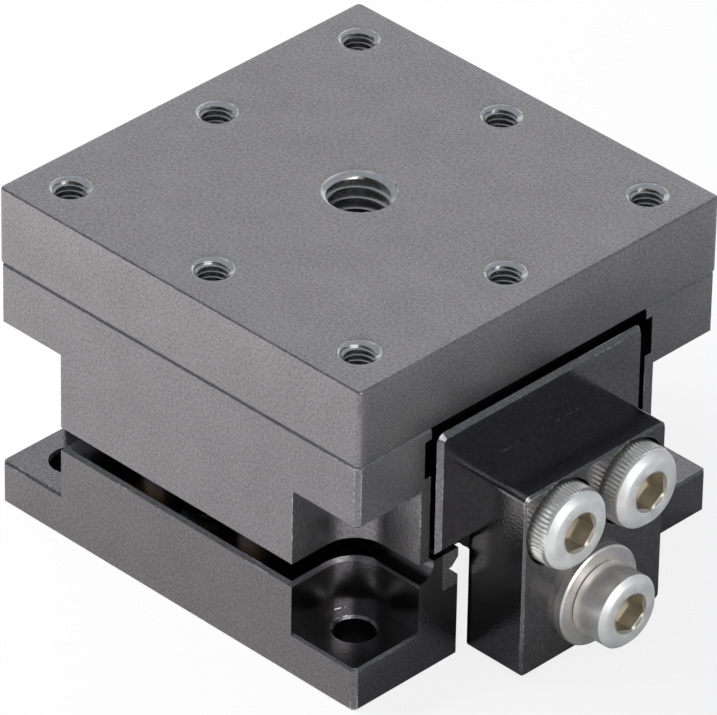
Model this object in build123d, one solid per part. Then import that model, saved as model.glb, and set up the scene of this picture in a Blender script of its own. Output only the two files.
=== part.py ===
from build123d import *
import os
from math import atan, cos, degrees, radians, sin, sqrt

# A compact wedge-driven linear stage. Turning the adjusting screw draws a steel wedge along X,
# and crossed rollers on the wedge lift or lower the table along Z on four guide posts.
# Millimetres. Origin at the centre of the base's underside, +Z up, +X towards the adjuster block.
# Every piece is drawn at mid travel.
os.makedirs("parts", exist_ok=True)

# ---------------------------------------------------------------- driving dimensions
SIDE = 40.0                 # table, frame and base are this square in plan
CORNER_CHAMFER = 0.4        # on the upright corners of the plates
EDGE_BREAK = 0.2            # on the table's and the frame's horizontal edges
BASE_EDGE_BREAK = 0.3

BASE_HEIGHT = 8.7           # floor to the base's shoulder
FOOT_THICKNESS = 4.0        # corner feet that take the mounting screws
LIFT_GAP = 1.7              # shoulder to the frame's underside
FRAME_HEIGHT = 12.6
FLANGE_THICKNESS = 5.7      # full square flange at the top of the frame
TABLE_THICKNESS = 7.0
NOTCH = 7.0                 # square corner notches of the base and of the frame
NOTCH_RADIUS = 3.0

HOLE_INSET = 4.0            # side faces to the outer rows of the table's and the base's holes
TABLE_TAP_DRILL = 2.5       # for M3, eight holes
TABLE_TAP_DEPTH = 5.5
CENTRE_TAP_DRILL = 5.0      # for M6, one through hole
FOOT_HOLE = 3.4             # clearance for M3
TABLE_TAP_MOUTH = 3.4       # across the countersunk mouths
CENTRE_TAP_MOUTH = 6.1
FOOT_HOLE_MOUTH = 3.8

WEDGE_SLOPE = 0.2           # table rise over slider travel
TABLE_TRAVEL = 1.2          # each way from mid travel
WEDGE_LINE_RISE = 5.9       # the inclined roller line at X = 0, over the frame's underside

ROLLER_DIAMETER = 1.5
ROLLER_PLAY = 0.01          # between a roller and each flank of its grooves
ROLLER_PITCH = 2.6
LOWER_ROLLERS = 7           # in each cage of the level guide
UPPER_ROLLERS = 6           # in each cage of the inclined guide
LOWER_CAGE_X = 3.7          # middle of the lower cages
UPPER_CAGE_X = 1.6
CAGE_THICKNESS = 0.24
CAGE_HEIGHT = 2.6
CAGE_END = 0.5              # strip beyond the end rollers' flanks
CAGE_WINDOW_PLAY = 0.04     # between a roller and its window
GUIDE_GAP = 0.4             # between the faces of two rails
RAIL_HEIGHT = 3.4
BASE_RAIL_WIDTH = 1.7
FRAME_RAIL_WIDTH = 2.7
GROOVE_RELIEF = 0.3         # grinding relief at the bottom of a V groove

SIDE_WALL = 8.0             # of the frame, beside its channel
BACK_WALL = 3.5             # of the frame, behind its channel
RAIL_POCKET_DEPTH = 0.7     # the inclined rails' seats in the side walls
RAIL_POCKET_BACK = 0.5      # those rails start this far behind the lobes
RAIL_POCKET_FRONT = 0.3     # and end this far short of the lobes' front
UPSTAND_RISE = 1.6          # of the walls beside the base's slot, which hold the level rails
UPSTAND_GAP = 0.6           # from an upstand to the frame's side wall
UPSTAND_THICKNESS = 2.7
UPSTAND_BACK_GAP = 0.5
UPSTAND_ROOT_RADIUS = 1.5
SLOT_LENGTH = 10.5          # open stretch of the slot, in from the +X face
RUNNING_GAP = 0.3           # under and over moving faces that don't touch

SLIDER_END_GAP = 1.5        # behind the slider at the end of its travel
TUNNEL_HALF = 4.4           # relief under the slider for the screw and its boss
TUNNEL_TOP = 8.7
BOSS_HALF = 4.1
BOSS_TOP = 8.3

END_PLATE_THICKNESS = 1.0
END_PLATE_PROUD = 0.4       # in front of the frame's face
END_PLATE_GAP = 0.6         # from its sides to the frame's side walls
END_PLATE_LIFT = 0.6        # its lower edge over the upstands
END_PLATE_DROP = 0.95       # its upper edge under the table
END_PLATE_RADIUS = 0.8
END_PLATE_BEVEL = 0.4
BLOCK_THICKNESS = 5.9
BLOCK_HALF = 7.9
BLOCK_BOTTOM = 0.5
BLOCK_LAP = 6.6             # height of the end plate that the block covers
BLOCK_RADIUS = 0.6
BLOCK_BEVEL = 0.2

SCREW_DIAMETER = 4.0        # M4, for the adjusting screw and the block's screws
SCREW_CLEARANCE = 0.2       # radial, where a screw passes through a piece
THREAD_CLEARANCE = 0.05     # radial, where a screw's thread runs in its nut
SOCKET_AF = 3.0
SOCKET_SHARE = 0.55         # of a head's length that its socket is deep
BLOCK_SCREW_SPACING = 8.0
BLOCK_SCREW_DROP = 3.85     # under the block's top
BLOCK_SCREW_LENGTH = 12.0
BLOCK_SCREW_HEAD = 7.0
BLOCK_SCREW_HEAD_LENGTH = 4.0
BLOCK_SCREW_SUNK = 1.8
BLOCK_SCREW_BEVEL = 0.25
BLOCK_SCREW_POCKET = 7.5
KNURL_GROOVES = 36
KNURL_CUT = 0.24            # side of the square that cuts a groove, corner first
KNURL_CUT_PROUD = 0.048     # that square's middle beyond the head's rim
KNURL_MARGIN = 0.6          # plain band at each end of the head
ADJUSTER_HEIGHT = 5.0
ADJUSTER_LENGTH = 30.0
ADJUSTER_HEAD = 6.4
ADJUSTER_HEAD_LENGTH = 3.3
ADJUSTER_BEVEL = 0.2
WASHER_DIAMETER = 8.7
WASHER_THICKNESS = 0.8
WASHER_BEVEL = 0.15
HEAD_PLAY = 0.05            # between the adjusting screw's head and its washer
INSERT_DIAMETER = 5.6
INSERT_LENGTH = 10.0
SCREW_WELL_SPARE = 3.15     # beyond the screw's tip at the end of its travel

LOBE_INSET = 3.6            # side faces to the row of posts, springs and screws in each lobe
POST_DIAMETER = 3.0
POST_CHAMFER = 0.3
POST_WELL_CLEARANCE = 0.2   # radial, above the bushes
POST_X = 5.3
POST_DEPTH = 7.2            # pressed into the base
POST_TOP_DROP = 2.0         # its top under the table
BUSH_DIAMETER = 4.6
BUSH_LENGTH = 9.0
BUSH_CLEARANCE = 0.03       # radial, post in bush
FRAME_SCREW_X = 10.2
FRAME_SCREW_DIAMETER = 2.5
FRAME_SCREW_LENGTH = 10.0
FRAME_SCREW_HEAD = 4.5
FRAME_SCREW_HEAD_LENGTH = 2.5
FRAME_SCREW_HEAD_CLEARANCE = 0.1
FRAME_SCREW_SHANK_CLEARANCE = 0.15
FRAME_SCREW_THREAD_PLAY = 0.04
FRAME_SCREW_BEVEL = 0.2
FRAME_SCREW_TAP_SPARE = 0.3
FRAME_SCREW_GRIP = 6.0      # frame material under the screw's head
FRAME_SCREW_AF = 2.0

SPRING_OUTER = 4.0
SPRING_WIRE = 0.5
SPRING_TURNS = 12
SPRING_LOOP_PLAY = 0.1      # between a loop and its pin
SPRING_WELL = 5.2
SPRING_PIN_DIAMETER = 1.5
SPRING_PIN_LENGTH = 6.8
LOWER_PIN_HEIGHT = 1.6
UPPER_PIN_DROP = 1.6        # under the table
PIN_SLOT_PLAY = 0.1

# ---------------------------------------------------------------- worked out from them
HALF = SIDE / 2
HOLE_PITCH = HALF - HOLE_INSET
LOBE_HALF = HALF - NOTCH
LOBE_Y = HALF - LOBE_INSET
CHANNEL_HALF = HALF - SIDE_WALL
CHANNEL_START_X = BACK_WALL - HALF
POCKET_HALF = CHANNEL_HALF + RAIL_POCKET_DEPTH
FRAME_RAIL_START_X = -LOBE_HALF - RAIL_POCKET_BACK
FRAME_RAIL_END_X = LOBE_HALF - RAIL_POCKET_FRONT
UPSTAND_HALF = CHANNEL_HALF - UPSTAND_GAP
UPSTAND_START_X = CHANNEL_START_X + UPSTAND_BACK_GAP
SLOT_HALF = UPSTAND_HALF - UPSTAND_THICKNESS
SLOT_END_X = HALF - SLOT_LENGTH
END_PLATE_HALF = CHANNEL_HALF - END_PLATE_GAP
FRAME_BOTTOM = BASE_HEIGHT + LIFT_GAP
FRAME_TOP = FRAME_BOTTOM + FRAME_HEIGHT
UPSTAND_TOP = BASE_HEIGHT + UPSTAND_RISE
POST_TOP = FRAME_TOP - POST_TOP_DROP
UPPER_PIN_HEIGHT = FRAME_TOP - UPPER_PIN_DROP
WEDGE_LINE_HEIGHT = FRAME_BOTTOM + WEDGE_LINE_RISE
FLANGE_BOTTOM = FRAME_TOP - FLANGE_THICKNESS
TABLE_TOP = FRAME_TOP + TABLE_THICKNESS

WEDGE_ANGLE = degrees(atan(WEDGE_SLOPE))
WEDGE_COS = cos(radians(WEDGE_ANGLE))
SLIDER_TRAVEL = TABLE_TRAVEL / WEDGE_SLOPE
SLIDER_START_X = CHANNEL_START_X + SLIDER_TRAVEL + SLIDER_END_GAP
BASE_RAIL_BOTTOM = UPSTAND_TOP - RAIL_HEIGHT
LOWER_GUIDE_Y = SLOT_HALF - GUIDE_GAP / 2
LOWER_GUIDE_Z = UPSTAND_TOP - RAIL_HEIGHT / 2
FRAME_RAIL_INNER = POCKET_HALF - FRAME_RAIL_WIDTH
UPPER_GUIDE_Y = FRAME_RAIL_INNER - GUIDE_GAP / 2
SLIDER_LOWER_HALF = SLOT_HALF - GUIDE_GAP
SLIDER_UPPER_HALF = FRAME_RAIL_INNER - GUIDE_GAP
CHANNEL_FLOOR = BASE_RAIL_BOTTOM - RUNNING_GAP

END_PLATE_BOTTOM = UPSTAND_TOP + END_PLATE_LIFT
END_PLATE_TOP = FRAME_TOP - END_PLATE_DROP
BLOCK_TOP = END_PLATE_BOTTOM + BLOCK_LAP
BLOCK_SCREW_HEIGHT = BLOCK_TOP - BLOCK_SCREW_DROP
PLATE_FRONT_X = HALF + END_PLATE_PROUD
SLIDER_END_X = PLATE_FRONT_X - END_PLATE_THICKNESS
BLOCK_FRONT_X = PLATE_FRONT_X + BLOCK_THICKNESS
WASHER_FRONT_X = BLOCK_FRONT_X + WASHER_THICKNESS
ADJUSTER_SEAT_X = WASHER_FRONT_X + HEAD_PLAY
SCREW_WELL_END_X = ADJUSTER_SEAT_X - ADJUSTER_LENGTH - SLIDER_TRAVEL - SCREW_WELL_SPARE
BLOCK_SCREW_SEAT_X = BLOCK_FRONT_X - BLOCK_SCREW_SUNK
SCREW_HOLE_RADIUS = SCREW_DIAMETER / 2 + SCREW_CLEARANCE
GRID = (-HOLE_PITCH, 0, HOLE_PITCH)
TOP_HOLES = [(x, y) for x in GRID for y in GRID if x or y]
CORNERS = [(x, y) for x in (-HOLE_PITCH, HOLE_PITCH) for y in (-HOLE_PITCH, HOLE_PITCH)]
POSTS = [(x, y) for x in (-POST_X, POST_X) for y in (-LOBE_Y, LOBE_Y)]
FRAME_SCREWS = [(x, y) for x in (-FRAME_SCREW_X, FRAME_SCREW_X) for y in (-LOBE_Y, LOBE_Y)]
SIDES = {"left": -1, "right": 1}


# ---------------------------------------------------------------- shared shapes
def span(x0, x1, y0, y1, z0, z1):
    """A box between two corners."""
    return Pos((x0 + x1) / 2, (y0 + y1) / 2, (z0 + z1) / 2) * Box(x1 - x0, y1 - y0, z1 - z0)


def upright(x, y, z0, z1, radius):
    """A vertical cylinder from z0 up to z1."""
    return Pos(x, y, (z0 + z1) / 2) * Cylinder(radius, z1 - z0)


def along_x(x0, x1, y, z, radius):
    """A cylinder along X from x0 to x1."""
    return Pos((x0 + x1) / 2, y, z) * Rot(0, 90, 0) * Cylinder(radius, x1 - x0)


def on_incline(x, y):
    """A frame on the inclined roller line, its X along the line, rising towards +X."""
    return Pos(x, y, WEDGE_LINE_HEIGHT + WEDGE_SLOPE * x) * Rot(0, -WEDGE_ANGLE, 0)


def on_level(x, y):
    """A frame on the level roller line."""
    return Pos(x, y, LOWER_GUIDE_Z)


def cross_section():
    """The plan of the base's and the frame's waist: a square with four rounded corner notches."""
    plan = Rectangle(SIDE, 2 * LOBE_HALF) + Rectangle(2 * LOBE_HALF, SIDE)
    inner = [v for v in plan.vertices() if max(abs(v.X), abs(v.Y)) < LOBE_HALF + 0.01]
    return fillet(inner, NOTCH_RADIUS)


def broken_edges(plan, z0, z1, size):
    """A flat plan raised from z0 to z1, its top and bottom edges broken."""
    body = Pos(0, 0, z0) * extrude(plan, amount=z1 - z0)
    levels = body.edges().group_by(Axis.Z)
    return chamfer(levels[0] + levels[-1], size)


def waist(z0, z1, size=EDGE_BREAK):
    return broken_edges(cross_section(), z0, z1, size)


def square_plate(z0, z1):
    """A square plate with chamfered upright corners."""
    return broken_edges(chamfer(Rectangle(SIDE, SIDE).vertices(), CORNER_CHAMFER), z0, z1, EDGE_BREAK)


def raceway(length):
    """A square bar turned 45 degrees: cutting it from two facing rails leaves their V grooves."""
    side = ROLLER_DIAMETER
    apex = side / sqrt(2) + GROOVE_RELIEF / 2
    return Rot(45, 0, 0) * Box(length, side, side) + Box(length, 2 * apex, GROOVE_RELIEF)


def drilled(x, y, top, depth, bore, mouth):
    """A drilled hole, its mouth opened to a 90 degree cone on an upward face."""
    cone = Pos(x, y, top - mouth / 4) * Cone(0, mouth / 2, mouth / 2)
    return upright(x, y, top - depth, top, bore / 2) + cone


def hex_socket(af, depth):
    """A hexagonal socket, its mouth at Z = 0 and its floor below."""
    return Pos(0, 0, -depth) * extrude(RegularPolygon(af / 2, 6, major_radius=False), amount=depth)


def cap_screw(diameter, length, head, head_length, af, bevel):
    """A socket head cap screw, its seat at Z = 0, its head above and its shank below."""
    body = Pos(0, 0, head_length / 2) * Cylinder(head / 2, head_length)
    body = chamfer(body.edges().group_by(Axis.Z)[-1], bevel)
    shank = Pos(0, 0, -length / 2) * Cylinder(diameter / 2, length)
    shank = chamfer(shank.edges().group_by(Axis.Z)[0], diameter / 8)
    return body + shank - Pos(0, 0, head_length) * hex_socket(af, head_length * SOCKET_SHARE)


# ---------------------------------------------------------------- base
def make_base_plate():
    body = square_plate(0, FOOT_THICKNESS) + waist(0, BASE_HEIGHT, BASE_EDGE_BREAK)
    over = UPSTAND_TOP + 1
    body -= span(SLOT_END_X, HALF + 1, -SLOT_HALF, SLOT_HALF, -1, over)
    body -= span(CHANNEL_START_X, SLOT_END_X, -SLOT_HALF, SLOT_HALF, CHANNEL_FLOOR, over)
    body += span(CHANNEL_START_X, SLOT_END_X, -BOSS_HALF, BOSS_HALF, CHANNEL_FLOOR - 1, BOSS_TOP)
    for side in SIDES.values():
        body += make_upstand(side)
        body -= base_rail_bar(side, HALF + 1)
        body -= upright(0, side * LOBE_Y, -1, over, SPRING_WELL / 2)
        body -= pin_slot(side * LOBE_Y, -1, LOWER_PIN_HEIGHT + SPRING_PIN_DIAMETER / 2)
    body -= along_x(SLOT_END_X - INSERT_LENGTH, SLOT_END_X + 1, 0, ADJUSTER_HEIGHT, INSERT_DIAMETER / 2)
    body -= along_x(SCREW_WELL_END_X, SLOT_END_X, 0, ADJUSTER_HEIGHT, SCREW_HOLE_RADIUS)
    for x, y in CORNERS:
        body -= drilled(x, y, FOOT_THICKNESS, FOOT_THICKNESS + 1, FOOT_HOLE, FOOT_HOLE_MOUTH)
    for x, y in POSTS:
        body -= upright(x, y, BASE_HEIGHT - POST_DEPTH, over, POST_DIAMETER / 2)
    return body


def pin_slot(y, z0, z1):
    """The cross slot that a spring's pin lies in."""
    half = SPRING_PIN_DIAMETER / 2 + PIN_SLOT_PLAY / 2
    reach = SPRING_PIN_LENGTH / 2 + PIN_SLOT_PLAY
    return span(-reach, reach, y - half, y + half, z0, z1)


def make_upstand(side):
    """A low wall beside the slot, its outer foot rounded into the shoulder."""
    r = UPSTAND_ROOT_RADIUS
    bottom = BASE_RAIL_BOTTOM
    foot = UPSTAND_HALF + r
    section = make_face(Polyline((SLOT_HALF, bottom), (foot, bottom), (foot, BASE_HEIGHT + r),
                                 (UPSTAND_HALF, BASE_HEIGHT + r), (UPSTAND_HALF, UPSTAND_TOP),
                                 (SLOT_HALF, UPSTAND_TOP), close=True))
    section -= Pos(foot, BASE_HEIGHT + r) * Circle(r)
    wall = Pos(UPSTAND_START_X, 0, 0) * extrude(Plane.YZ * section, amount=HALF - UPSTAND_START_X)
    return wall if side > 0 else mirror(wall, Plane.XZ)


def base_rail_bar(side, end_x):
    """The plain bar of a level rail, bonded inside its upstand."""
    y0, y1 = sorted((side * SLOT_HALF, side * (SLOT_HALF + BASE_RAIL_WIDTH)))
    return span(UPSTAND_START_X, end_x, y0, y1, BASE_RAIL_BOTTOM, UPSTAND_TOP)


def make_base_rail(side):
    return base_rail_bar(side, HALF) - on_level(0, side * LOWER_GUIDE_Y) * raceway(2 * SIDE)


def make_threaded_insert():
    x0 = SLOT_END_X - INSERT_LENGTH
    body = along_x(x0, SLOT_END_X, 0, ADJUSTER_HEIGHT, INSERT_DIAMETER / 2)
    bore = along_x(x0 - 1, SLOT_END_X + 1, 0, ADJUSTER_HEIGHT, SCREW_DIAMETER / 2 + THREAD_CLEARANCE)
    return body - bore


def make_guide_posts():
    posts = []
    for x, y in POSTS:
        post = upright(x, y, BASE_HEIGHT - POST_DEPTH, POST_TOP, POST_DIAMETER / 2)
        posts.append(chamfer(post.edges().filter_by(GeomType.CIRCLE), POST_CHAMFER))
    return posts


# ---------------------------------------------------------------- slider, end plate and block
def wedge_profile(half_width, low, x0, x1):
    """The wedge's side view between a level bottom, or the band's own, and its inclined top."""
    def at(x, offset):
        return WEDGE_LINE_HEIGHT + WEDGE_SLOPE * x + offset * RAIL_HEIGHT / 2 / WEDGE_COS
    z0, z1 = (low, low) if low is not None else (at(x0, -1), at(x1, -1))
    outline = Polyline((x0, z0), (x1, z1), (x1, at(x1, 1)), (x0, at(x0, 1)), close=True)
    side_view = Plane.XZ * make_face(outline)
    return extrude(side_view, amount=half_width, both=True)


def make_wedge_slider():
    body = wedge_profile(SLIDER_LOWER_HALF, BASE_RAIL_BOTTOM, SLIDER_START_X, SLIDER_END_X)
    body += wedge_profile(SLIDER_UPPER_HALF, None, SLIDER_START_X, SLIDER_END_X)
    body -= span(SLIDER_START_X - 1, SLIDER_END_X + 1, -TUNNEL_HALF, TUNNEL_HALF, 0, TUNNEL_TOP)
    body -= front_slant()
    for side in SIDES.values():
        body -= on_level(0, side * LOWER_GUIDE_Y) * raceway(2 * SIDE)
        body -= on_incline(0, side * UPPER_GUIDE_Y) * raceway(2 * SIDE)
        tip = BLOCK_SCREW_SEAT_X - BLOCK_SCREW_LENGTH
        body -= along_x(tip - 1, SLIDER_END_X + 1, side * BLOCK_SCREW_SPACING / 2, BLOCK_SCREW_HEIGHT,
                        SCREW_DIAMETER / 2 + THREAD_CLEARANCE)
    return body


def front_slant():
    """The slider's lower front edge, cut at 45 degrees up to the end plate."""
    rise = END_PLATE_BOTTOM - BASE_RAIL_BOTTOM
    corner = Polyline((SLIDER_END_X - rise, BASE_RAIL_BOTTOM), (SLIDER_END_X, BASE_RAIL_BOTTOM),
                      (SLIDER_END_X, END_PLATE_BOTTOM), close=True)
    return extrude(Plane.XZ * make_face(corner), amount=SLOT_HALF, both=True)


def make_end_plate():
    plate = span(SLIDER_END_X, PLATE_FRONT_X, -END_PLATE_HALF, END_PLATE_HALF,
                 END_PLATE_BOTTOM, END_PLATE_TOP)
    plate = fillet(plate.edges().filter_by(Axis.X).group_by(Axis.Z)[-1], END_PLATE_RADIUS)
    plate = chamfer(plate.faces().sort_by(Axis.X)[-1].edges(), END_PLATE_BEVEL)
    for side in SIDES.values():
        plate -= along_x(SLIDER_END_X - 1, PLATE_FRONT_X + 1, side * BLOCK_SCREW_SPACING / 2,
                         BLOCK_SCREW_HEIGHT, SCREW_HOLE_RADIUS)
    return plate


def make_adjuster_block():
    block = span(PLATE_FRONT_X, BLOCK_FRONT_X, -BLOCK_HALF, BLOCK_HALF, BLOCK_BOTTOM, BLOCK_TOP)
    block = fillet(block.edges().filter_by(Axis.X), BLOCK_RADIUS)
    block = chamfer(block.faces().sort_by(Axis.X)[-1].edges(), BLOCK_BEVEL)
    for side in SIDES.values():
        y = side * BLOCK_SCREW_SPACING / 2
        block -= along_x(PLATE_FRONT_X - 1, BLOCK_FRONT_X, y, BLOCK_SCREW_HEIGHT, SCREW_HOLE_RADIUS)
        block -= along_x(BLOCK_SCREW_SEAT_X, BLOCK_FRONT_X + 1, y, BLOCK_SCREW_HEIGHT,
                         BLOCK_SCREW_POCKET / 2)
    return block - along_x(PLATE_FRONT_X - 1, BLOCK_FRONT_X + 1, 0, ADJUSTER_HEIGHT, SCREW_HOLE_RADIUS)


def make_block_screw(side):
    screw = cap_screw(SCREW_DIAMETER, BLOCK_SCREW_LENGTH, BLOCK_SCREW_HEAD, BLOCK_SCREW_HEAD_LENGTH,
                      SOCKET_AF, BLOCK_SCREW_BEVEL)
    ring = BLOCK_SCREW_HEAD / 2 + KNURL_CUT_PROUD
    cutter = Box(KNURL_CUT, KNURL_CUT, BLOCK_SCREW_HEAD_LENGTH - 2 * KNURL_MARGIN)
    cut = Pos(ring, 0, BLOCK_SCREW_HEAD_LENGTH / 2) * Rot(0, 0, 45) * cutter
    for i in range(KNURL_GROOVES):
        screw -= Rot(0, 0, 360 * i / KNURL_GROOVES) * cut
    seat = Pos(BLOCK_SCREW_SEAT_X, side * BLOCK_SCREW_SPACING / 2, BLOCK_SCREW_HEIGHT)
    return seat * Rot(0, 90, 0) * screw


def make_adjusting_screw():
    screw = cap_screw(SCREW_DIAMETER, ADJUSTER_LENGTH, ADJUSTER_HEAD, ADJUSTER_HEAD_LENGTH,
                      SOCKET_AF, ADJUSTER_BEVEL)
    return Pos(ADJUSTER_SEAT_X, 0, ADJUSTER_HEIGHT) * Rot(0, 90, 0) * screw


def make_washer():
    disc = along_x(BLOCK_FRONT_X, WASHER_FRONT_X, 0, ADJUSTER_HEIGHT, WASHER_DIAMETER / 2)
    disc = chamfer(disc.edges().group_by(Axis.X)[-1], WASHER_BEVEL)
    return disc - along_x(BLOCK_FRONT_X - 1, WASHER_FRONT_X + 1, 0, ADJUSTER_HEIGHT, SCREW_HOLE_RADIUS)


# ---------------------------------------------------------------- roller cages
def roller(turned, play):
    """A crossed roller, its axis at 45 degrees to the gap. A negative play makes its cage window."""
    size = ROLLER_DIAMETER - 2 * play
    angle = 45 if turned else -45
    return Rot(angle, 0, 0) * Cylinder(size / 2, size)


def make_rollers(place, middle_x, y, count):
    start = middle_x - (count - 1) * ROLLER_PITCH / 2
    return [place(start + i * ROLLER_PITCH, y) * roller(i % 2, ROLLER_PLAY) for i in range(count)]


def make_cage(place, middle_x, y, count):
    length = (count - 1) * ROLLER_PITCH + ROLLER_DIAMETER + 2 * CAGE_END
    strip = place(middle_x, y) * Box(length, CAGE_THICKNESS, CAGE_HEIGHT)
    start = middle_x - (count - 1) * ROLLER_PITCH / 2
    for i in range(count):
        strip -= place(start + i * ROLLER_PITCH, y) * roller(i % 2, -CAGE_WINDOW_PLAY)
    return strip


# ---------------------------------------------------------------- table body
def make_lift_frame():
    body = waist(FRAME_BOTTOM, FRAME_TOP) + square_plate(FLANGE_BOTTOM, FRAME_TOP)
    body -= span(CHANNEL_START_X, HALF + 1, -CHANNEL_HALF, CHANNEL_HALF, FRAME_BOTTOM - 1, FRAME_TOP + 1)
    for side in SIDES.values():
        body -= frame_rail_bar(side, HALF + 1)
        body -= upright(0, side * LOBE_Y, FRAME_BOTTOM - 1, FRAME_TOP + 1, SPRING_WELL / 2)
        body -= pin_slot(side * LOBE_Y, UPPER_PIN_HEIGHT - SPRING_PIN_DIAMETER / 2, FRAME_TOP + 1)
    for x, y in POSTS:
        body -= upright(x, y, FRAME_BOTTOM - 1, FRAME_BOTTOM + BUSH_LENGTH, BUSH_DIAMETER / 2)
        body -= upright(x, y, FRAME_BOTTOM, POST_TOP + TABLE_TRAVEL + RUNNING_GAP,
                        POST_DIAMETER / 2 + POST_WELL_CLEARANCE)
    for x, y in FRAME_SCREWS:
        seat = FRAME_TOP - FRAME_SCREW_GRIP
        body -= upright(x, y, FRAME_BOTTOM - 1, seat, FRAME_SCREW_HEAD / 2 + FRAME_SCREW_HEAD_CLEARANCE)
        body -= upright(x, y, seat - 1, FRAME_TOP + 1,
                        FRAME_SCREW_DIAMETER / 2 + FRAME_SCREW_SHANK_CLEARANCE)
    return body


def frame_rail_bar(side, end_x):
    """The plain bar of an inclined rail, cut square to the incline at both ends."""
    length = (end_x - FRAME_RAIL_START_X) / WEDGE_COS
    middle = (end_x + FRAME_RAIL_START_X) / 2
    y = side * (POCKET_HALF - FRAME_RAIL_WIDTH / 2)
    return on_incline(middle, y) * Box(length, FRAME_RAIL_WIDTH, RAIL_HEIGHT)


def make_frame_rail(side):
    return frame_rail_bar(side, FRAME_RAIL_END_X) - on_incline(0, side * UPPER_GUIDE_Y) * raceway(2 * SIDE)


def make_table_plate():
    plate = square_plate(FRAME_TOP, TABLE_TOP)
    for x, y in TOP_HOLES:
        plate -= drilled(x, y, TABLE_TOP, TABLE_TAP_DEPTH, TABLE_TAP_DRILL, TABLE_TAP_MOUTH)
    plate -= drilled(0, 0, TABLE_TOP, TABLE_THICKNESS + 1, CENTRE_TAP_DRILL, CENTRE_TAP_MOUTH)
    tapped = FRAME_SCREW_LENGTH - FRAME_SCREW_GRIP + FRAME_SCREW_TAP_SPARE
    for x, y in FRAME_SCREWS:
        plate -= upright(x, y, FRAME_TOP - 1, FRAME_TOP + tapped, FRAME_SCREW_DIAMETER / 2)
    return plate


def make_frame_screws():
    screw = cap_screw(FRAME_SCREW_DIAMETER - FRAME_SCREW_THREAD_PLAY, FRAME_SCREW_LENGTH, FRAME_SCREW_HEAD,
                      FRAME_SCREW_HEAD_LENGTH, FRAME_SCREW_AF, FRAME_SCREW_BEVEL)
    return [Pos(x, y, FRAME_TOP - FRAME_SCREW_GRIP) * Rot(180, 0, 0) * screw for x, y in FRAME_SCREWS]


def make_guide_bushes():
    bushes = []
    for x, y in POSTS:
        bush = upright(x, y, FRAME_BOTTOM, FRAME_BOTTOM + BUSH_LENGTH, BUSH_DIAMETER / 2)
        bushes.append(bush - upright(x, y, 0, SIDE, POST_DIAMETER / 2 + BUSH_CLEARANCE))
    return bushes


# ---------------------------------------------------------------- springs and their pins
def make_spring_pin(side, z):
    return along_x(-SPRING_PIN_LENGTH / 2, SPRING_PIN_LENGTH / 2, side * LOBE_Y, z, SPRING_PIN_DIAMETER / 2)


def make_extension_spring(side):
    """One wire: a coil with a round loop at each end, each loop standing across X over its pin."""
    loop = SPRING_PIN_DIAMETER / 2 + SPRING_WIRE / 2 + SPRING_LOOP_PLAY
    radius = (SPRING_OUTER - SPRING_WIRE) / 2
    low = LOWER_PIN_HEIGHT + loop
    high = UPPER_PIN_HEIGHT - loop
    coil = Helix(pitch=(high - low) / SPRING_TURNS, height=high - low, radius=radius)

    def on_loop(height, angle):
        return (0, loop * sin(radians(angle)), height + loop * cos(radians(angle)))
    runs = [
        ThreePointArc(on_loop(LOWER_PIN_HEIGHT, 50), on_loop(LOWER_PIN_HEIGHT, 205), (0, 0, low)),
        ThreePointArc((0, 0, low), (-radius / 2, radius / 2, low), (-radius, 0, low)),
        Pos(0, 0, low) * Rot(0, 0, 180) * coil,
        ThreePointArc((-radius, 0, high), (-radius / 2, -radius / 2, high), (0, 0, high)),
        ThreePointArc((0, 0, high), on_loop(UPPER_PIN_HEIGHT, 25), on_loop(UPPER_PIN_HEIGHT, 230)),
    ]
    path = Wire([edge for run in runs for edge in run.edges()])
    section = Plane(origin=path @ 0, z_dir=path % 0) * Circle(SPRING_WIRE / 2)
    return Pos(0, side * LOBE_Y, 0) * sweep(section, path=path, transition=Transition.TRANSFORMED)


# ---------------------------------------------------------------- every node
NODES = {
    "base_plate": make_base_plate(),
    "threaded_insert": make_threaded_insert(),
    "guide_posts": Compound(children=make_guide_posts()),
    "wedge_slider": make_wedge_slider(),
    "end_plate": make_end_plate(),
    "adjuster_block": make_adjuster_block(),
    "adjusting_screw": make_adjusting_screw(),
    "adjuster_washer": make_washer(),
    "lift_frame": make_lift_frame(),
    "guide_bushes": Compound(children=make_guide_bushes()),
    "table_plate": make_table_plate(),
    "table_screws": Compound(children=make_frame_screws()),
}
for word, sign in SIDES.items():
    NODES[f"base_rail_{word}"] = make_base_rail(sign)
    NODES[f"frame_rail_{word}"] = make_frame_rail(sign)
    NODES[f"block_screw_{word}"] = make_block_screw(sign)
    NODES[f"lower_cage_{word}"] = make_cage(on_level, LOWER_CAGE_X, sign * LOWER_GUIDE_Y, LOWER_ROLLERS)
    NODES[f"upper_cage_{word}"] = make_cage(on_incline, UPPER_CAGE_X, sign * UPPER_GUIDE_Y, UPPER_ROLLERS)
    NODES[f"lower_rollers_{word}"] = Compound(
        children=make_rollers(on_level, LOWER_CAGE_X, sign * LOWER_GUIDE_Y, LOWER_ROLLERS))
    NODES[f"upper_rollers_{word}"] = Compound(
        children=make_rollers(on_incline, UPPER_CAGE_X, sign * UPPER_GUIDE_Y, UPPER_ROLLERS))
    NODES[f"return_spring_{word}"] = make_extension_spring(sign)
    NODES[f"lower_spring_pin_{word}"] = make_spring_pin(sign, LOWER_PIN_HEIGHT)
    NODES[f"upper_spring_pin_{word}"] = make_spring_pin(sign, UPPER_PIN_HEIGHT)

for name, shape in NODES.items():
    export_step(shape, f"parts/{name}.step")
    print(name, round(shape.volume, 2))
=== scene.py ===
import math

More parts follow.
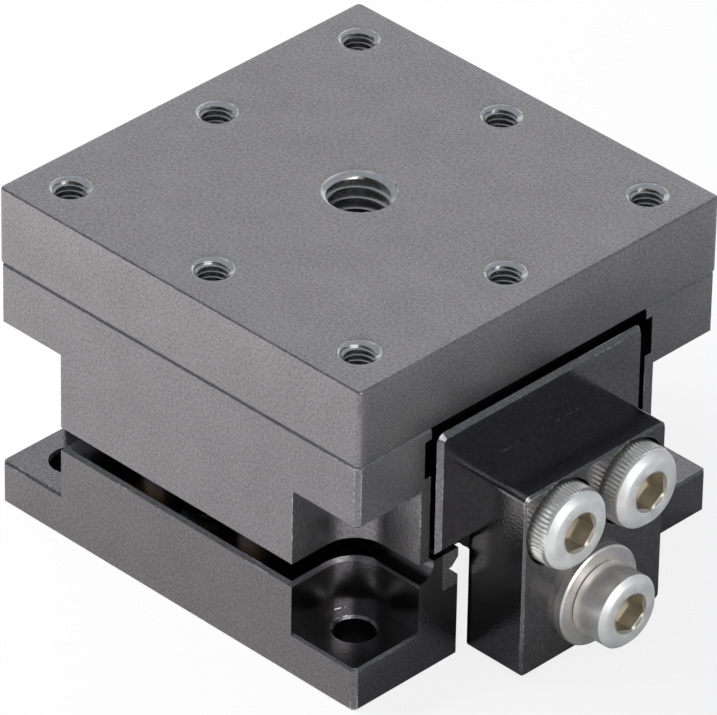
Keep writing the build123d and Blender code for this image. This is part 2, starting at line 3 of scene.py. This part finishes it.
import bmesh
import bpy
import numpy as np
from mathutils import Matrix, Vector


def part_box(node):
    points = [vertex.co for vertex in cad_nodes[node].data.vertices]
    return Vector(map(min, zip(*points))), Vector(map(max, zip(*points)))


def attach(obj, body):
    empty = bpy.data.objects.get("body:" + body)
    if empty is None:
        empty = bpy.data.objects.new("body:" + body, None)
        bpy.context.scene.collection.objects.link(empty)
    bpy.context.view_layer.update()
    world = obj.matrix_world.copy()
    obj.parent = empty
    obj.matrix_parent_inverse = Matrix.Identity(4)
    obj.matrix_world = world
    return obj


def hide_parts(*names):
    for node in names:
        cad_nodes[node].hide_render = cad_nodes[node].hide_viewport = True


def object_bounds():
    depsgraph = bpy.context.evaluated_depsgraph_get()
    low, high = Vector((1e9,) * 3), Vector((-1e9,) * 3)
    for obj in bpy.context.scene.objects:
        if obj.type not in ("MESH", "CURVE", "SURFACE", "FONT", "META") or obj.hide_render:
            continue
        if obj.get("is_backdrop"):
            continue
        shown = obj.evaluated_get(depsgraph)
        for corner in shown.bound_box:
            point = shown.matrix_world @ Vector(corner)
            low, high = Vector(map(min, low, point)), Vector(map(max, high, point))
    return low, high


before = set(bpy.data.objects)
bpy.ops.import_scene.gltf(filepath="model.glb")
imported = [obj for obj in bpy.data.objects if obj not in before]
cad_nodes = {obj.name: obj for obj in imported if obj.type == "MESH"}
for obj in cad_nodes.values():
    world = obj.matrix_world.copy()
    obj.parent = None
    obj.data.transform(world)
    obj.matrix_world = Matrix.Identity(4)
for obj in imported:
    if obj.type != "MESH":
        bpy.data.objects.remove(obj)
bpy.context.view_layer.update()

# ---------------------------------------------------------------- base
# One milled aluminium block with corner feet, a slot for the adjuster and two upstands that hold
# the level rails. It is bead blasted to a fine grain and anodised dark grey. Small chips along its
# edges show bare metal, and the same bright marks are painted highlights where its edges catch
# light.
mm = 0.001
BLAST_GRAIN = 4200.0        # grains in a metre
# FLAT and BENT set where the edge chips and their painted edge highlight begin.
FLAT, BENT = 0.995, 0.93    # cosines of the bend where wear begins and where it is whole


def add(tree, kind, inputs, **settings):
    """Adds a shader node. Each input takes a number, a colour, or the socket to link to it."""
    made = tree.nodes.new(kind)
    for setting, value in settings.items():
        setattr(made, setting, value)
    for label, value in inputs.items():
        if isinstance(value, bpy.types.NodeSocket):
            tree.links.new(value, made.inputs[label])
        else:
            made.inputs[label].default_value = value
    return made


def shader_group(name, inputs, outputs):
    """An empty node group with numbers going in and masks or heights coming out."""
    group = bpy.data.node_groups.new(name, "ShaderNodeTree")
    for label, value in inputs.items():
        socket = group.interface.new_socket(label, in_out="INPUT", socket_type="NodeSocketFloat")
        socket.default_value = value
    for label in outputs:
        group.interface.new_socket(label, in_out="OUTPUT", socket_type="NodeSocketFloat")
    given = group.nodes.new("NodeGroupInput").outputs
    wanted = group.nodes.new("NodeGroupOutput").inputs
    return group, given, wanted


def noise(tree, place, scale, detail, roughness=0.5):
    """Fractal noise of the place, with the given number of octaves."""
    values = {"Vector": place, "Scale": scale, "Detail": detail, "Roughness": roughness}
    return add(tree, "ShaderNodeTexNoise", values).outputs["Fac"]


def maths(tree, operation, first, second):
    """One operation on two numbers."""
    return add(tree, "ShaderNodeMath", {0: first, 1: second}, operation=operation).outputs[0]


def stretched(tree, value, low, high, start=0.0, end=1.0):
    """A number between start and end, carried over to the stretch from low to high."""
    values = {"Value": value, "From Min": start, "From Max": end, "To Min": low, "To Max": high}
    return add(tree, "ShaderNodeMapRange", values).outputs[0]


def blasted_grain_group():
    """Height is fine noise. Tone is the same noise with a share of a coarse one mixed in."""
    values = {"Grain": BLAST_GRAIN, "Patch": 260.0}
    group, given, wanted = shader_group("blasted grain", values, ["Height", "Tone"])
    place = add(group, "ShaderNodeTexCoord", {}).outputs["Object"]
    fine = noise(group, place, given["Grain"], 3.0, 0.62)
    patch = noise(group, place, given["Patch"], 4.0, 0.6)
    tone = add(group, "ShaderNodeMix", {"Factor": 0.15, "A": fine, "B": patch}).outputs["Result"]
    group.links.new(fine, wanted["Height"])
    group.links.new(tone, wanted["Tone"])
    return group


def worn_edge_and_glint_group():
    """Mask is near 1 where the surface bends within Width of the point, times 1 where fine noise
    plus coarse noise passes a limit that Cover lowers, and 0 elsewhere. It marks worn chips and
    also paints bright highlights along the edges."""
    values = {"Width": 0.18 * mm, "Chip": 2600.0, "Cover": 0.5}
    group, given, wanted = shader_group("worn edge and painted glint", values, ["Mask"])
    place = add(group, "ShaderNodeTexCoord", {}).outputs["Object"]
    face = add(group, "ShaderNodeNewGeometry", {}).outputs["Normal"]
    rounded = add(group, "ShaderNodeBevel", {"Radius": given["Width"]}, samples=6).outputs["Normal"]
    bend = add(group, "ShaderNodeVectorMath", {0: face, 1: rounded}, operation="DOT_PRODUCT")
    near = stretched(group, bend.outputs["Value"], 0.0, 1.0, FLAT, BENT)
    chips_and_glints = noise(group, place, given["Chip"], 5.0, 0.7)
    spread = noise(group, place, 190.0, 2.0)
    ragged = maths(group, "ADD", chips_and_glints, spread)
    limit = maths(group, "SUBTRACT", 1.5, given["Cover"])
    kept = maths(group, "GREATER_THAN", ragged, limit)
    group.links.new(maths(group, "MULTIPLY", near, kept), wanted["Mask"])
    return group


BLASTED_GRAIN = blasted_grain_group()
WORN_EDGE_AND_GLINT = worn_edge_and_glint_group()


def new_material(name, constants):
    """A material of one Principled shader, with the numbers that are the same all over set on it."""
    material = bpy.data.materials.new(name)
    material.use_nodes = True
    shader = material.node_tree.nodes["Principled BSDF"]
    for label, value in constants.items():
        shader.inputs[label].default_value = value
    return material, material.node_tree, shader.inputs


def place_group(tree, group, values):
    """Places a shader group in a material with that material's own values."""
    made = add(tree, "ShaderNodeGroup", {}, node_tree=group)
    for label, value in values.items():
        made.inputs[label].default_value = value
    return made


def shade(colour, factor):
    """The colour made darker or lighter by a factor."""
    return tuple(factor * part for part in colour) + (1.0,)


def mixed(tree, factor, first, second):
    """The first colour, with a share of the second that the factor gives."""
    inputs = {"Factor": factor, 6: first, 7: second}
    return add(tree, "ShaderNodeMix", inputs, data_type="RGBA").outputs[2]


def raised(tree, shader, height, strength, distance):
    """Tilts the surface by the slope of a height."""
    inputs = {"Height": height, "Strength": strength, "Distance": distance}
    tree.links.new(add(tree, "ShaderNodeBump", inputs).outputs["Normal"], shader["Normal"])


# Bare aluminium of worn chips, also used as a painted highlight along the edges.
BARE_ALUMINIUM_AND_GLINT = (0.7, 0.69, 0.68, 1.0)


def anodised(name, dye, roughness, chips_and_glints):
    """Blasted and dyed aluminium: the dye's depth follows the grain, and chips show bare metal that
    also serves as a painted highlight along the edges.
    """
    material, tree, shader = new_material(name, {"Metallic": 1.0})
    blasted = place_group(tree, BLASTED_GRAIN, {"Grain": BLAST_GRAIN}).outputs
    # The edge mask gives worn chips and a painted highlight where edges would glint.
    wear_and_glint = place_group(tree, WORN_EDGE_AND_GLINT, {"Cover": chips_and_glints}).outputs["Mask"]
    dyed = mixed(tree, blasted["Tone"], shade(dye, 0.1), shade(dye, 1.9))
    tree.links.new(mixed(tree, wear_and_glint, dyed, BARE_ALUMINIUM_AND_GLINT), shader["Base Color"])
    gloss = stretched(tree, blasted["Tone"], roughness + 0.06, roughness - 0.06)
    tree.links.new(gloss, shader["Roughness"])
    raised(tree, shader, blasted["Height"], 0.5, 0.03 * mm)
    return material


def finish_nodes(material, *names):
    """Gives CAD nodes their finish."""
    for name in names:
        cad_nodes[name].data.materials.clear()
        cad_nodes[name].data.materials.append(material)


base_grey = anodised("base anodised", (0.18, 0.174, 0.177), 0.2, 0.36)
finish_nodes(base_grey, "base_plate")

# ---------------------------------------------------------------- guide posts, rails and rollers
# Hardened steel, ground to size: posts pressed into the base, V grooved rails bonded in place, and
# crossed rollers in punched brass strips. Grinding leaves fine lines across the ground faces.


def ground_lines_group():
    """Lines is noise of a place whose X is multiplied by Along and whose Y and Z by Across, so
    that it is drawn out along X where Along is the smaller."""
    values = {"Along": 300.0, "Across": 9000.0}
    group, given, wanted = shader_group("ground lines", values, ["Lines"])
    place = add(group, "ShaderNodeTexCoord", {}).outputs["Object"]
    factors = {"X": given["Along"], "Y": given["Across"], "Z": given["Across"]}
    stretch = add(group, "ShaderNodeCombineXYZ", factors).outputs["Vector"]
    laid = add(group, "ShaderNodeVectorMath", {0: place, 1: stretch}, operation="MULTIPLY")
    group.links.new(noise(group, laid.outputs["Vector"], 1.0, 4.0), wanted["Lines"])
    return group


GROUND_LINES = ground_lines_group()


def bright_metal(name, colour, roughness, along, across, metallic=1.0):
    """Bare machined metal: fine lines vary its tone, its gloss and its surface."""
    material, tree, shader = new_material(name, {"Metallic": metallic})
    lines = place_group(tree, GROUND_LINES, {"Along": along, "Across": across}).outputs["Lines"]
    toned = mixed(tree, lines, shade(colour, 0.8), shade(colour, 1.15))
    tree.links.new(toned, shader["Base Color"])
    gloss = stretched(tree, lines, roughness - 0.08, roughness + 0.08)
    tree.links.new(gloss, shader["Roughness"])
    raised(tree, shader, lines, 0.2, 0.01 * mm)
    return material


ground_steel = bright_metal("ground steel", (0.5, 0.49, 0.48), 0.26, 300.0, 9000.0)
cage_brass = bright_metal("punched brass", (0.62, 0.44, 0.2), 0.34, 900.0, 5000.0)
bush_bronze = bright_metal("turned bronze", (0.55, 0.36, 0.2), 0.32, 5000.0, 900.0)
spring_steel = bright_metal("spring wire", (0.36, 0.36, 0.37), 0.3, 4000.0, 4000.0)
wedge_steel = bright_metal("wedge steel", (0.3, 0.3, 0.31), 0.32, 300.0, 7000.0)
for side in ("left", "right"):
    finish_nodes(ground_steel, f"base_rail_{side}", f"frame_rail_{side}", f"lower_rollers_{side}",
                 f"upper_rollers_{side}", f"lower_spring_pin_{side}", f"upper_spring_pin_{side}")
    finish_nodes(cage_brass, f"lower_cage_{side}", f"upper_cage_{side}")
    finish_nodes(spring_steel, f"return_spring_{side}")
finish_nodes(ground_steel, "guide_posts")
finish_nodes(wedge_steel, "wedge_slider")
finish_nodes(bush_bronze, "guide_bushes", "threaded_insert")

# ---------------------------------------------------------------- end plate and adjuster block
# The end plate closes the wedge's channel, and the block in front of it carries the adjusting
# screw. Both are aluminium, finely blasted and dyed, and two cap screws hold the pair.
plate_grey = anodised("end plate anodised", (0.205, 0.2, 0.206), 0.14, 0.36)
finish_nodes(plate_grey, "end_plate")
block_grey = anodised("block anodised", (0.165, 0.16, 0.162), 0.13, 0.34)
finish_nodes(block_grey, "adjuster_block")

# ---------------------------------------------------------------- block screws
# Two stainless cap screws with straight knurled heads, faced fronts and broached hexagon sockets.
# The heads sit half sunk in pockets of the block, and the threads end in the wedge.
MERGE = 0.0004 * mm         # points of neighbouring grids nearer than this are one point
SHARP_ANGLE = math.radians(35)


def grid_faces(rows, columns, first):
    """The quads of one grid of points, as four corner numbers each."""
    down, across = np.meshgrid(np.arange(rows - 1), np.arange(columns - 1), indexing="ij")
    corner = first + down.ravel() * columns + across.ravel()
    return np.stack([corner, corner + 1, corner + columns + 1, corner + columns], axis=1)


def skin(name, grids, materials):
    """One closed mesh from grids of points, each a (points, material number) pair. Points of
    neighbouring rows and columns are joined by quads, and points that meet are made one."""
    points = np.concatenate([grid.reshape(-1, 3) for grid, _ in grids])
    faces, numbers, first = [], [], 0
    for grid, number in grids:
        made = grid_faces(grid.shape[0], grid.shape[1], first)
        faces.append(made)
        numbers.append(np.full(len(made), number))
        first += grid.shape[0] * grid.shape[1]
    mesh = bpy.data.meshes.new(name)
    mesh.from_pydata(points.tolist(), [], np.concatenate(faces).tolist())
    mesh.polygons.foreach_set("material_index", np.concatenate(numbers).astype(np.int32))
    for material in materials:
        mesh.materials.append(material)
    shell = bmesh.new()
    shell.from_mesh(mesh)
    bmesh.ops.remove_doubles(shell, verts=shell.verts, dist=MERGE)
    bmesh.ops.recalc_face_normals(shell, faces=shell.faces)
    shell.to_mesh(mesh)
    shell.free()
    mesh.shade_smooth()
    mesh.set_sharp_from_angle(angle=SHARP_ANGLE)
    piece = bpy.data.objects.new(name, mesh)
    bpy.context.scene.collection.objects.link(piece)
    return piece


def turned_on_x(axial, radial, turn, centre):
    """Points of a shape turned about X: x is how far along, and y and z are the centre plus how far
    out times the cosine and the sine of the angle."""
    axial, radial, turn = np.broadcast_arrays(axial, radial, turn)
    across, up = radial * np.cos(turn), radial * np.sin(turn)
    return np.stack([axial, centre[0] + across, centre[1] + up], axis=-1)


def grid_of(rows, turn):
    """Rows of (along, out) pairs, each a number or an array over the turn, as two arrays."""
    along = np.array([np.broadcast_to(a, turn.shape) for a, _ in rows])
    out = np.array([np.broadcast_to(r, turn.shape) for _, r in rows])
    return along, out


def hexagon(turn, across_flats, corner):
    """How far out a hexagon's side lies: half its width over the cosine of the angle off a flat."""
    off = np.mod(turn - corner, math.pi / 3) - math.pi / 6
    return across_flats / 2 / np.cos(off)


SOCKET_ACROSS = 3.0 * mm
SOCKET_MOUTH = SOCKET_ACROSS / math.sqrt(3) + 0.05 * mm
SOCKET_LEAD = 0.16 * mm
SOCKET_DRILL = 0.48 * SOCKET_ACROSS
DRILL_POINT = 0.58 * mm


def socket_rows(turn, face, depth, corner):
    """A hexagon socket sunk in a face: a round mouth that leads in, flat walls and a drill cone."""
    hexed = hexagon(turn, SOCKET_ACROSS, corner)
    led_in = np.minimum(hexed, SOCKET_MOUTH - 0.1 * mm)
    floor = face - depth
    rows = [(face, SOCKET_MOUTH), (face - SOCKET_LEAD, led_in), (floor, hexed),
            (floor, np.minimum(hexed, SOCKET_DRILL)), (floor - 0.5 * mm, 0.25 * SOCKET_DRILL),
            (floor - DRILL_POINT, 0.0)]
    return grid_of(rows, turn)


SHANK_RADIUS = 1.98 * mm
SCREW_PITCH = 0.7 * mm


def shank_rows(turn, seat, tip, plain):
    """A threaded shank from the tip up to its plain neck. Each row follows the helix: its place
    along the screw falls by one pitch over a turn. Its radius is the shank's less the groove's
    depth at that row, fades to plain over the last pitch, and is cut by a bevel at the tip."""
    depth = 0.6 * SCREW_PITCH
    phase = np.array([0.0, 0.12, 0.5, 0.75])
    sunk = np.array([0.0, 0.0, 1.0, 1.0])
    end = seat - plain
    turns = int(math.ceil((end - tip) / SCREW_PITCH)) + 1
    start = (np.arange(turns)[:, None] + phase).ravel() * SCREW_PITCH
    along = np.clip(tip + start[:, None] - SCREW_PITCH * turn / (2 * math.pi), tip, end)
    groove = depth * np.tile(sunk, turns)[:, None] * np.clip((end - along) / SCREW_PITCH, 0, 1)
    bevel = SHANK_RADIUS - depth * 1.2 + (along - tip)
    return along, np.minimum(SHANK_RADIUS - groove, bevel)


def screw_grids(turn, centre, seat, tip, plain, head, ring, socket):
    """The grids of one screw with their material numbers: 0 for the shank and the head's side,
    1 for the head's faced front and 2 for the socket."""
    shank = shank_rows(turn, seat, tip, plain)
    end = grid_of([(tip, 0.0), (tip, shank[1][0].min())], turn)
    neck = grid_of([(seat - plain, SHANK_RADIUS), (seat, SHANK_RADIUS)], turn)
    turned = (end, shank, neck, grid_of(head, turn), grid_of(ring, turn), socket)
    return [(turned_on_x(along, out, turn, centre), number)
            for (along, out), number in zip(turned, (0, 0, 0, 0, 1, 2))]


stainless = bright_metal("turned stainless", (0.94, 0.92, 0.88), 0.22, 5000.0, 700.0, 0.7)
faced_steel = bright_metal("faced stainless", (0.96, 0.955, 0.94), 0.55, 900.0, 900.0, 0.8)
socket_steel = bright_metal("broached socket", (0.52, 0.475, 0.39), 0.4, 2500.0, 2500.0, 0.9)
KNURL_RIDGES = 60
POINTS_A_RIDGE = 6
KNURL_DEPTH = 0.13 * mm
KNURL_START, KNURL_END = 0.3 * mm, 2.95 * mm    # from the head's seat
CAP_HEAD = 4.0 * mm
CAP_NECK = 0.6 * mm
CAP_RIM_INSET = 0.12 * mm                       # the plain band before the knurl
CAP_SOCKET = 1.7 * mm


def knurled_screw(node, corner_angle):
    """The head's rim is drawn in by a cosine of the angle, one wave for each ridge of the knurl."""
    low, high = (np.array(corner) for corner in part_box(node))
    rim = (high[1] - low[1]) / 2
    tip, front = low[0], high[0]
    seat = front - CAP_HEAD
    turn = np.linspace(0, 2 * math.pi, KNURL_RIDGES * POINTS_A_RIDGE + 1)
    ridge = KNURL_DEPTH * (0.5 - 0.5 * np.cos(KNURL_RIDGES * turn)) ** 0.7
    band = rim - CAP_RIM_INSET
    shoulder = (front - 0.52 * mm, band - 0.03 * mm)
    head = [(seat, SHANK_RADIUS), (seat, rim - 0.35 * mm), (seat + 0.1 * mm, rim - 0.18 * mm),
            (seat + KNURL_START, rim - ridge), (seat + KNURL_END, rim - ridge),
            (seat + KNURL_END + 0.25 * mm, band), (front - 0.58 * mm, band), shoulder]
    ring = [shoulder, (front - 0.06 * mm, rim - 0.6 * mm), (front, rim - 0.7 * mm),
            (front, SOCKET_MOUTH)]
    socket = socket_rows(turn, front, CAP_SOCKET, corner_angle)
    centre = (low[1:] + high[1:]) / 2
    grids = screw_grids(turn, centre, seat, tip, CAP_NECK, head, ring, socket)
    screw = skin(f"knurled_{node}", grids, [stainless, faced_steel, socket_steel])
    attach(screw, "slider")
    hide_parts(node)


knurled_screw("block_screw_left", math.radians(-10))
knurled_screw("block_screw_right", math.radians(34))

# ---------------------------------------------------------------- adjusting screw and washer
# A stainless cap screw with a plain turned head pulls the wedge against its return springs. A
# washer spreads the head's push over the block. Turning marks run round both.
HEAD_BEVEL = 0.45 * mm
LONG_NECK = 8.0 * mm
WASHER_PLAY = 0.05 * mm
HEAD_SIDES = 144
LONG_SOCKET = 1.6 * mm
low, high = (np.array(corner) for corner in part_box("adjusting_screw"))
head_radius, front = (high[1] - low[1]) / 2, high[0]
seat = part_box("adjuster_washer")[1][0] + WASHER_PLAY
turn = np.linspace(0, 2 * math.pi, HEAD_SIDES + 1)
edge = (front - HEAD_BEVEL, head_radius)
head = [(seat, SHANK_RADIUS), (seat, head_radius - 0.15 * mm), (seat + 0.15 * mm, head_radius), edge]
ring = [edge, (front - 0.05 * mm, head_radius - 0.42 * mm), (front, head_radius - 0.5 * mm),
        (front, SOCKET_MOUTH)]
socket = socket_rows(turn, front, LONG_SOCKET, math.radians(38))
centre = (low[1:] + high[1:]) / 2
grids = screw_grids(turn, centre, seat, low[0], LONG_NECK, head, ring, socket)
turned_steel = bright_metal("bright turned head", (0.93, 0.9, 0.86), 0.24, 5000.0, 700.0, 0.5)
pull_screw = skin("turned_adjusting_screw", grids, [turned_steel, faced_steel, socket_steel])
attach(pull_screw, "screw")
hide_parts("adjusting_screw")
washer_steel = bright_metal("polished washer", (0.86, 0.83, 0.8), 0.36, 5000.0, 1500.0, 0.9)
finish_nodes(washer_steel, "adjuster_washer")

# ---------------------------------------------------------------- lift frame
# The table's body: a milled aluminium frame with a square flange on top, notched at its corners
# like the base, blasted and anodised. Four screws from below hold the table plate on it.
frame_grey = anodised("frame anodised", (0.24, 0.233, 0.237), 0.25, 0.36)
finish_nodes(frame_grey, "lift_frame")
finish_nodes(ground_steel, "table_screws")

# ---------------------------------------------------------------- table
# The top plate: aluminium, blasted and anodised, with eight M3 holes round one M6 hole. The holes
# were countersunk and tapped after the anodising, so their mouths and threads are bare metal.
table_low, table_high = (np.array(corner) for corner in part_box("table_plate"))
HALF_WIDTH = (table_high[0] - table_low[0]) / 2
CORNER_RADIUS = 0.4 * mm
EDGE_RADIUS = 0.2 * mm
HOLE_PITCH = 16.0 * mm
CELL_EDGE = HOLE_PITCH / 2
BLIND_DEPTH = 5.5 * mm


def drawn_in(points, inset):
    """Points of the flat square with its corners rounded: the part of a point that lies in a corner
    square is shortened to the corner's radius, less the inset."""
    core = np.clip(points, CORNER_RADIUS - HALF_WIDTH, HALF_WIDTH - CORNER_RADIUS)
    past = points - core
    length = np.linalg.norm(past, axis=-1, keepdims=True)
    return core + past * np.minimum(1, (CORNER_RADIUS - inset) / np.maximum(length, 1e-9))


# Where the grid lines cross a side: close together at its rounded end, and even elsewhere.
corner_stations = HALF_WIDTH - CORNER_RADIUS * np.array([1, 0.6, 0.3, 0])
outer_cell = np.linspace(CELL_EDGE, HALF_WIDTH - CORNER_RADIUS, 19)
arm = np.concatenate([outer_cell[:-1], corner_stations])
STATIONS = {-1: -arm[::-1], 0: np.linspace(-CELL_EDGE, CELL_EDGE, 22), 1: arm}


def rectangle(across, up):
    """Points along a rectangle's four sides in turn, anticlockwise from its low corner and back."""
    low_side = np.stack([across, np.full(len(across), up[0])], axis=1)
    right_side = np.stack([np.full(len(up), across[-1]), up], axis=1)
    high_side = np.stack([across[::-1], np.full(len(across), up[-1])], axis=1)
    left_side = np.stack([np.full(len(up), across[0]), up[::-1]], axis=1)
    return np.concatenate([low_side[:-1], right_side[:-1], high_side[:-1], left_side])


def cell_face(border, centre, rim, height):
    """A flat cell with a round hole: the hole's rim, plus a growing share of the way from there to
    the cell's border. Also gives each border point's angle about the hole."""
    angle = np.unwrap(np.arctan2(border[:, 1] - centre[1], border[:, 0] - centre[0]))
    ring = centre + rim * np.stack([np.cos(angle), np.sin(angle)], axis=1)
    share = np.linspace(0, 1, 5)[:, None, None] ** 1.5
    flat = drawn_in(ring + (border - ring) * share, EDGE_RADIUS)
    return angle, np.concatenate([flat, np.full(flat.shape[:2] + (1,), height)], axis=2)


def tapped_bore(angle, centre, top, mouth, minor, major, pitch, depth, blind):
    """A tapped hole. Each row follows the helix, so its depth falls by a pitch over a turn, and its
    radius is the thread's profile there, or the steep countersink's where that is wider."""
    phase = np.array([0.0, 0.22, 0.55, 0.68])
    shape = np.interp(phase, [0, 0.25, 0.5625, 0.6875, 1], [0, 0, 1, 1, 0])
    turns = int(math.ceil(depth / pitch)) + 2
    start = ((np.arange(turns)[:, None] + phase).ravel() - 1) * pitch
    swept = (angle - angle[0]) / (2 * math.pi)
    down = np.clip(start[:, None] + pitch * (1 - swept), 0, depth)
    fade = np.clip((depth - down) / pitch - 0.4, 0, 1)
    out = minor + (major - minor) * np.tile(shape, turns)[:, None] * fade
    out = np.maximum(out, mouth - 1.8 * down)
    if blind:
        point = np.array([[1.0], [0.5], [0.0]]) * np.ones_like(angle)
        down = np.concatenate([down, depth + minor * 0.6 * (1 - point)])
        out = np.concatenate([out, minor * point])
    across, up = centre[0] + out * np.cos(angle), centre[1] + out * np.sin(angle)
    return np.stack([across, up, top - down], axis=-1)


def rounded_rim(top, bottom):
    """The plate's side: its outline at each height, drawn in by a quarter circle at both edges."""
    line = np.concatenate([STATIONS[-1][:-1], STATIONS[0][:-1], STATIONS[1]])
    around = rectangle(line, line)
    bend = np.radians([0, 22.5, 45, 67.5, 90])
    insets = EDGE_RADIUS * (1 - np.sin(bend))
    upper = top - EDGE_RADIUS * (1 - np.cos(bend))
    insets = np.concatenate([insets, insets[::-1]])
    heights = np.concatenate([upper, top + bottom - upper[::-1]])
    outline = drawn_in(around, insets[:, None, None])
    height = np.broadcast_to(heights[:, None, None], outline.shape[:2] + (1,))
    return np.concatenate([outline, height], axis=2)


def table_skin():
    """The plate's top and bottom cells with material 0, its bores with 1, and its rim with 0."""
    top, bottom = table_high[2], table_low[2]
    grids = []
    for column in (-1, 0, 1):
        for row in (-1, 0, 1):
            border = rectangle(STATIONS[column], STATIONS[row])
            centre = np.array([column, row]) * HOLE_PITCH
            if column == 0 and row == 0:
                mouth, minor, major, pitch = np.array([3.05, 2.5, 3.0, 1.0]) * mm
                depth, blind, below = top - bottom, False, minor
            else:
                mouth, minor, major, pitch = np.array([1.7, 1.25, 1.5, 0.5]) * mm
                depth, blind, below = BLIND_DEPTH, True, 0.0
            angle, face = cell_face(border, centre, mouth, top)
            bore = tapped_bore(angle, centre, top, mouth, minor, major, pitch, depth, blind)
            underside = cell_face(border, centre, below, bottom)[1]
            grids += [(face, 0), (bore, 1), (underside, 0)]
    return grids + [(rounded_rim(top, bottom), 0)]


table_grey = anodised("table anodised", (0.25, 0.242, 0.246), 0.3, 0.34)
tapped_metal = bright_metal("tapped aluminium", (0.6, 0.59, 0.59), 0.22, 3000.0, 3000.0)
table = skin("tapped_table", table_skin(), [table_grey, tapped_metal])
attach(table, "table")
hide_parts("table_plate")

# ---------------------------------------------------------------- floor, light and camera
# A plain white floor under a pale sky. A soft lamp stands low on the left, a wide panel hangs
# behind, and a panel on the right shows only as a reflection in metal.
REACH = 3.0
corners = [(-REACH, -REACH, 0), (REACH, -REACH, 0), (REACH, REACH, 0), (-REACH, REACH, 0)]
floor_mesh = bpy.data.meshes.new("floor")
floor_mesh.from_pydata(corners, [], [(0, 1, 2, 3)])
floor = bpy.data.objects.new("floor", floor_mesh)
bpy.context.scene.collection.objects.link(floor)
floor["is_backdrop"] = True
PALE = (0.86, 0.86, 0.86, 1.0)
WHITE = (1.0, 1.0, 1.0, 1.0)
SKY_BLUE = (0.88, 0.94, 1.0, 1.0)
PLAIN_SHARE = 0.85          # how much of the paper's colour is plain white to the camera
floor_paper, tree, _ = new_material("floor paper", {"Base Color": PALE, "Roughness": 0.9})
lit = tree.nodes["Principled BSDF"].outputs[0]
white = add(tree, "ShaderNodeEmission", {"Color": WHITE, "Strength": 1.0}).outputs[0]
seen = add(tree, "ShaderNodeLightPath", {}).outputs["Is Camera Ray"]
share = maths(tree, "MULTIPLY", seen, PLAIN_SHARE)
paper = add(tree, "ShaderNodeMixShader", {0: share, 1: lit, 2: white}).outputs[0]
tree.links.new(paper, tree.nodes["Material Output"].inputs["Surface"])
floor_mesh.materials.append(floor_paper)

# The sky is weak for light, stronger where metal mirrors it, and white behind the object.
sky = bpy.data.worlds.new("pale sky")
bpy.context.scene.world = sky
sky.use_nodes = True
tree = sky.node_tree
path = add(tree, "ShaderNodeLightPath", {}).outputs
mirrored = stretched(tree, path["Is Glossy Ray"], 0.26, 0.45)
strength = maths(tree, "MAXIMUM", mirrored, path["Is Camera Ray"])
tree.links.new(strength, tree.nodes["Background"].inputs["Strength"])
tree.nodes["Background"].inputs["Color"].default_value = SKY_BLUE


def soft_lamp(name, place, width, watts, colour, spreads, mirrored):
    """A square lamp turned to the middle of the stage. It spreads light, shows in metal, or both."""
    lamp = bpy.data.lights.new(name, "AREA")
    lamp.size = width
    lamp.energy = watts
    lamp.color = colour
    body = bpy.data.objects.new(name, lamp)
    body.visible_diffuse, body.visible_glossy = spreads, mirrored
    body.visible_camera = False
    bpy.context.scene.collection.objects.link(body)
    body.location = place
    body.rotation_euler = (-body.location).to_track_quat("-Z", "Y").to_euler()


soft_lamp("left lamp", (-0.34, -0.21, 0.215), 0.28, 3.8, (1.0, 0.985, 0.98), True, False)
soft_lamp("back panel", (-0.42, 0.43, 0.42), 0.8, 1.1, (1.0, 0.965, 0.96), True, True)
soft_lamp("right panel", (0.5, -0.1, 0.3), 0.45, 1.7, (1.0, 1.0, 1.0), False, True)

# The camera is far off and long in focus. Its place is kept as angles round the table's top, a
# distance in table widths and a small shift of the aim.
VIEW_AZIMUTH = math.radians(44.35)
VIEW_ELEVATION = math.radians(33.96)
VIEW_ROLL = math.radians(1.095)
WIDTHS_AWAY = 17.102
AIM_RIGHT, AIM_UP = -0.002, -0.326
table_width = 2 * HALF_WIDTH
back = np.array([math.sin(VIEW_AZIMUTH) * math.cos(VIEW_ELEVATION),
                 -math.cos(VIEW_AZIMUTH) * math.cos(VIEW_ELEVATION), math.sin(VIEW_ELEVATION)])
level = np.array([math.cos(VIEW_AZIMUTH), math.sin(VIEW_AZIMUTH), 0.0])
upward = np.cross(back, level)
right = math.cos(VIEW_ROLL) * level + math.sin(VIEW_ROLL) * upward
up = math.cos(VIEW_ROLL) * upward - math.sin(VIEW_ROLL) * level
eye = table_width * (back * WIDTHS_AWAY + right * AIM_RIGHT + up * AIM_UP)
eye += np.array([0, 0, table_high[2]])
camera = bpy.data.cameras.new("camera")
camera.sensor_width = 36.0
camera.sensor_fit = "HORIZONTAL"
camera.lens = 437.9
camera.clip_start, camera.clip_end = 0.05, 10.0
viewer = bpy.data.objects.new("camera", camera)
bpy.context.scene.collection.objects.link(viewer)
pose = np.eye(4)
pose[:3, :4] = np.column_stack([right, up, back, eye])
viewer.matrix_world = pose.T.tolist()
bpy.context.scene.camera = viewer
bpy.context.scene.view_settings.view_transform = "Standard"

low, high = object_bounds()
